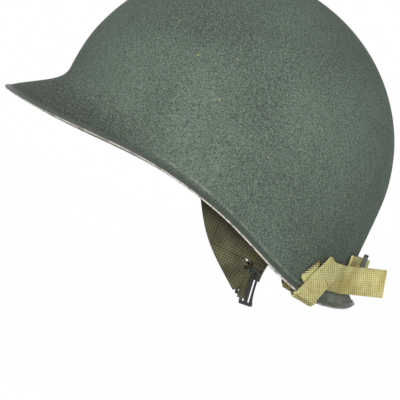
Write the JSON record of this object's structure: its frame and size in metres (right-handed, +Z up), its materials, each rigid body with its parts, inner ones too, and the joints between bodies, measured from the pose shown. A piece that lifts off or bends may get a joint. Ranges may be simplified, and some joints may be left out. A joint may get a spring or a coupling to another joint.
{
  "type": "steel pot helmet",
  "caption": "Steel pot helmet with a lift-off shell, fibre liner, webbing suspension, two swinging yokes with buckles, and khaki chin straps.",
  "frame": {"origin": "middle of the head opening, level with the shell's lowest rim", "axes": "+X to the rear, -Y to the wearer's left, +Z up to the crown"},
  "size_m": [0.2902, 0.2386, 0.2107],
  "materials": {
    "painted_steel": "textured paint",
    "bare_steel": "worn",
    "khaki_webbing": "woven",
    "blackened_metal": "satin",
    "moulded_fibre": "matt",
    "olive_webbing": "woven",
    "cotton_cord": "braided",
    "leather": "matt"
  },
  "bodies": {
    "liner": {"liner_shell": "moulded_fibre", "front_eyelet": "blackened_metal", "suspension_band": "olive_webbing", "crown_webs": "olive_webbing", "crown_lace": "cotton_cord", "band_rivets": "blackened_metal", "band_washers": "blackened_metal", "sweatband": "leather", "sweatband_clips": "blackened_metal", "nape_strap": "olive_webbing", "nape_rivets": "blackened_metal", "left_yoke_ends": "olive_webbing", "right_yoke_ends": "olive_webbing", "left_yoke_rivets": "blackened_metal", "right_yoke_rivets": "blackened_metal"},
    "pot": {"steel_shell": "painted_steel", "rim_edging": "bare_steel", "left_bail": "bare_steel", "right_bail": "bare_steel", "left_chinstrap": "khaki_webbing", "right_chinstrap": "khaki_webbing", "chinstrap_buckle": "blackened_metal"},
    "left_yoke": {"left_yoke": "olive_webbing"},
    "right_yoke": {"right_yoke": "olive_webbing"},
    "left_yoke_buckle": {"left_yoke_buckle": "blackened_metal"},
    "right_yoke_buckle": {"right_yoke_buckle": "blackened_metal"}
  },
  "joints": [
    {"name": "pot_lift", "type": "slide", "parent": "liner", "child": "pot", "axis": [0.083, 0, 0.9965], "range_m": [0, 0.2]},
    {"name": "left_yoke_swing", "type": "hinge", "parent": "liner", "child": "left_yoke", "pos_m": [0.00331, -0.09925, 0.0465], "axis": [0.9534, 0.3019, 0], "range_deg": [0, 30]},
    {"name": "right_yoke_swing", "type": "hinge", "parent": "liner", "child": "right_yoke", "pos_m": [0.00331, 0.09925, 0.0465], "axis": [-0.9534, 0.3019, 0], "range_deg": [0, 30]},
    {"name": "left_yoke_buckle_turn", "type": "hinge", "parent": "left_yoke", "child": "left_yoke_buckle", "pos_m": [0.0496, -0.08542, -0.0075], "axis": [-0.0996, -0.0316, 0.9945], "range_deg": [-50, 15]},
    {"name": "right_yoke_buckle_turn", "type": "hinge", "parent": "right_yoke", "child": "right_yoke_buckle", "pos_m": [0.0496, 0.08542, -0.0075], "axis": [0.0996, -0.0316, -0.9945], "range_deg": [-50, 15]}
  ]
}
